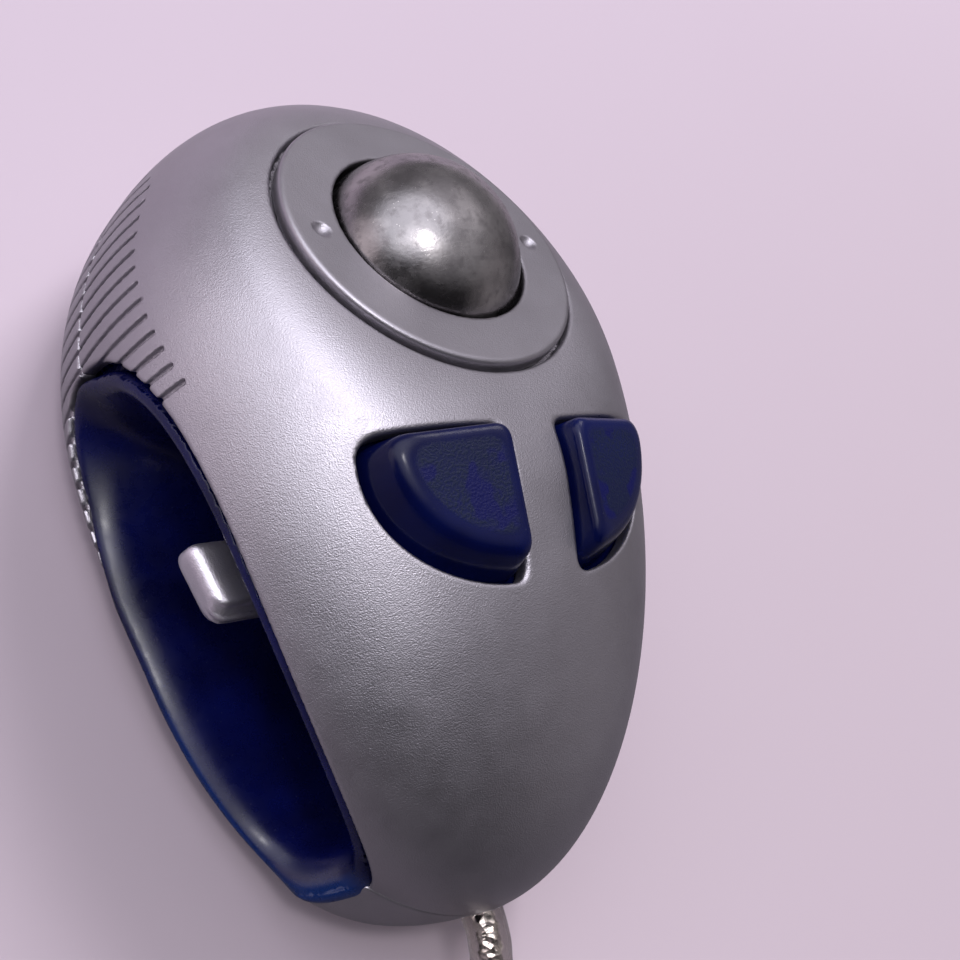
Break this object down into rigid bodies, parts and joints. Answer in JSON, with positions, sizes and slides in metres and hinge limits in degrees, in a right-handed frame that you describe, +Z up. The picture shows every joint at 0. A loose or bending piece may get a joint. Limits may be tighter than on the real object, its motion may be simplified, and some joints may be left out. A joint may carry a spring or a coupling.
{
  "type": "handheld trackball mouse",
  "caption": "Egg-shaped handheld trackball mouse with a finger tunnel and trigger, a thumb ball under a twist-off ring, thumb buttons and a stub of cable.",
  "frame": {"origin": "centre of the flat base, under the widest section of the case", "axes": "+X to the mouse's right, -Y towards the cable end, +Z up from the flat base"},
  "size_m": [0.0592, 0.1135, 0.044],
  "materials": {
    "shell_paint": "satin silver metallic paint with a fine grain",
    "ring_paint": "smooth satin silver metallic paint",
    "blue_plastic": "translucent cobalt blue, glossy, frosted on the button tops",
    "ball_plating": "worn dark plating with fine scuffs",
    "steel": "bright steel",
    "black_plastic": "moulded black",
    "white_plastic": "moulded white",
    "board_green": "green solder mask",
    "amber_lens": "clear amber",
    "smoke_lens": "dark smoke",
    "clear_jacket": "clear, slightly yellowed",
    "braid": "bright wrinkled foil and braid",
    "wire_red": "satin",
    "wire_white": "satin",
    "wire_green": "satin",
    "wire_black": "satin"
  },
  "bodies": {
    "case": {"top_shell": "shell_paint", "bottom_shell": "shell_paint", "finger_tunnel": "blue_plastic", "button_pivot_rod": "steel", "trigger_pin": "steel", "trigger_spring": "steel", "clock_crystal": "steel", "case_screw_rear_left": "steel", "case_screw_rear_right": "steel", "case_screw_nose_left": "steel", "case_screw_nose_right": "steel", "board_screw_left": "steel", "board_screw_right": "steel", "ball_cup": "black_plastic", "left_switch": "black_plastic", "right_switch": "black_plastic", "trigger_switch": "black_plastic", "controller_chip": "black_plastic", "capacitor": "black_plastic", "strain_relief": "black_plastic", "support_bead": "white_plastic", "cable_connector": "white_plastic", "main_board": "board_green", "pitch_emitter": "amber_lens", "roll_emitter": "amber_lens", "pitch_detector": "smoke_lens", "roll_detector": "smoke_lens", "cable_jacket": "clear_jacket", "cable_braid": "braid", "wire_red": "wire_red", "wire_white": "wire_white", "wire_green": "wire_green", "wire_black": "wire_black"},
    "ring": {"retaining_ring": "ring_paint"},
    "ball_inner": {"ball_core": "steel"},
    "ball_outer": {"ball_skin": "ball_plating"},
    "pitch_shaft": {"pitch_roller": "steel", "pitch_encoder_wheel": "black_plastic"},
    "roll_shaft": {"roll_roller": "steel", "roll_encoder_wheel": "black_plastic"},
    "button_left": {"left_button": "blue_plastic"},
    "button_right": {"right_button": "blue_plastic"},
    "trigger_lever": {"trigger": "shell_paint"},
    "plunger_left": {"left_switch_plunger": "white_plastic"},
    "plunger_right": {"right_switch_plunger": "white_plastic"},
    "plunger_trigger": {"trigger_switch_plunger": "white_plastic"}
  },
  "joints": [
    {"name": "ring_twist", "type": "hinge", "parent": "case", "child": "ring", "pos_m": [0, 0.011, 0.037], "axis": [0, 0.2284, 0.9736], "range_deg": [0, 24]},
    {"name": "ball_pitch", "type": "hinge", "parent": "case", "child": "ball_inner", "pos_m": [0, 0.01007, 0.03305], "axis": [1, 0, 0], "continuous": true},
    {"name": "ball_roll", "type": "hinge", "parent": "ball_inner", "child": "ball_outer", "pos_m": [0, 0.01007, 0.03305], "axis": [0, 1, 0], "continuous": true},
    {"name": "pitch_shaft_spin", "type": "hinge", "parent": "case", "child": "pitch_shaft", "pos_m": [0, 0.02046, 0.02577], "axis": [1, 0, 0], "continuous": true},
    {"name": "roll_shaft_spin", "type": "hinge", "parent": "case", "child": "roll_shaft", "pos_m": [-0.01039, 0.01007, 0.02577], "axis": [0, 1, 0], "continuous": true},
    {"name": "left_button_press", "type": "hinge", "parent": "case", "child": "button_left", "pos_m": [-0.0095, -0.008, 0.035], "axis": [1, 0, 0], "range_deg": [0, 3]},
    {"name": "right_button_press", "type": "hinge", "parent": "case", "child": "button_right", "pos_m": [0.0095, -0.008, 0.035], "axis": [1, 0, 0], "range_deg": [0, 3]},
    {"name": "trigger_pull", "type": "hinge", "parent": "case", "child": "trigger_lever", "pos_m": [0, -0.0155, 0.0292], "axis": [1, 0, 0], "range_deg": [0, 7]},
    {"name": "left_plunger_press", "type": "slide", "parent": "case", "child": "plunger_left", "axis": [0, 0, -1], "range_m": [0, 0.0007]},
    {"name": "right_plunger_press", "type": "slide", "parent": "case", "child": "plunger_right", "axis": [0, 0, -1], "range_m": [0, 0.0007]},
    {"name": "trigger_plunger_press", "type": "slide", "parent": "case", "child": "plunger_trigger", "axis": [0, -1, 0], "range_m": [0, 0.0005]}
  ],
  "couplings": [
    {"joint": "pitch_shaft_spin", "follows": "ball_pitch", "ratio": -6.875},
    {"joint": "roll_shaft_spin", "follows": "ball_roll", "ratio": -6.875},
    {"joint": "left_plunger_press", "follows": "left_button_press", "m_per_rad": 0.013},
    {"joint": "right_plunger_press", "follows": "right_button_press", "m_per_rad": 0.013},
    {"joint": "trigger_plunger_press", "follows": "trigger_pull", "m_per_rad": 0.0034}
  ]
}
